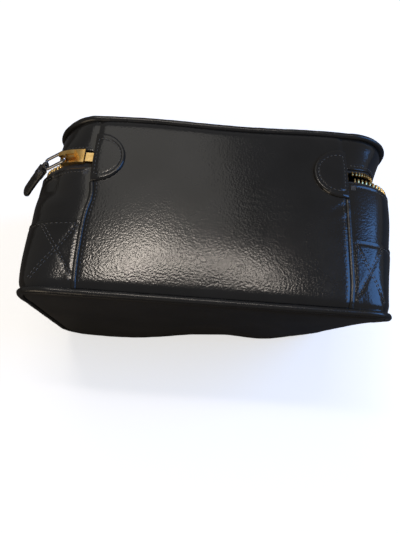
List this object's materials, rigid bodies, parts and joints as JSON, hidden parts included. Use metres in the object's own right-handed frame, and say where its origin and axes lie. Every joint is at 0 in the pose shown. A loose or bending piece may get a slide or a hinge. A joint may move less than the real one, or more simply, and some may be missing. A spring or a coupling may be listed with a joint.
{
  "type": "leather wash bag",
  "caption": "Boxy black leather zip-round wash bag lying on its front wall, with piped base and lid panels, a metal zipper on three sides and a leather pull.",
  "frame": {"origin": "on the resting plane under the front wall, midway between the two panels and the two ends", "axes": "+X along the bag's length, +Y from the base panel to the lid panel, +Z from the front wall up to the hinge wall"},
  "size_m": [0.2851, 0.144, 0.151],
  "materials": {
    "black_leather": "semi-gloss fine grain",
    "piping_leather": "semi-gloss",
    "lining": "woven twill",
    "piping_core": "twisted cord",
    "board": "fibreboard",
    "zipper_tape": "herringbone",
    "brass_teeth": "polished",
    "gold_slider": "polished, worn",
    "dark_chrome": "dark nickel"
  },
  "bodies": {
    "base": {"base_panel": "black_leather", "base_board": "board", "base_lining": "lining", "base_piping": "piping_leather", "base_piping_cord": "piping_core", "hinge_wall": "black_leather", "front_wall": "black_leather", "left_end_wall": "black_leather", "right_end_wall": "black_leather", "left_patch": "black_leather", "right_patch": "black_leather", "left_seam_welt": "piping_leather", "right_seam_welt": "piping_leather", "left_tab": "black_leather", "right_tab": "black_leather", "lower_tape": "zipper_tape", "lower_teeth": "brass_teeth", "upper_tape_start": "zipper_tape", "upper_teeth_start": "brass_teeth", "bottom_stop": "brass_teeth", "lower_top_stop": "brass_teeth"},
    "lid": {"lid_panel": "black_leather", "lid_board": "board", "lid_lining": "lining", "lid_piping": "piping_leather", "lid_piping_cord": "piping_core", "lid_hinge_wall": "black_leather", "lid_front_strip": "black_leather", "lid_left_strip": "black_leather", "lid_right_strip": "black_leather", "left_tab_lid_half": "black_leather", "right_tab_lid_half": "black_leather", "upper_tape": "zipper_tape", "upper_teeth": "brass_teeth", "upper_top_stop": "brass_teeth"},
    "slider": {"slider_body": "gold_slider", "slider_bridge": "gold_slider"},
    "loop": {"pull_loop": "dark_chrome"},
    "pull": {"pull_clip": "dark_chrome", "clip_rivet": "dark_chrome", "leather_pull": "black_leather"}
  },
  "joints": [
    {"name": "lid_fold", "type": "hinge", "parent": "base", "child": "lid", "pos_m": [0, 0.0346, 0.148], "axis": [1, 0, 0], "range_deg": [0, 110]},
    {"name": "slider_travel", "type": "hinge", "parent": "base", "child": "slider", "pos_m": [-0.098, 0.0346, 0.113], "axis": [0, -1, 0], "range_deg": [0, 35]},
    {"name": "loop_lift", "type": "hinge", "parent": "slider", "child": "loop", "pos_m": [-0.11416, 0.0346, 0.14472], "axis": [-0.1547, 0.9848, -0.0788], "range_deg": [0, 80]},
    {"name": "pull_lift", "type": "hinge", "parent": "loop", "child": "pull", "pos_m": [-0.13036, 0.0313, 0.13535], "axis": [-0.3624, 0.9135, -0.1847], "range_deg": [0, 45]}
  ]
}
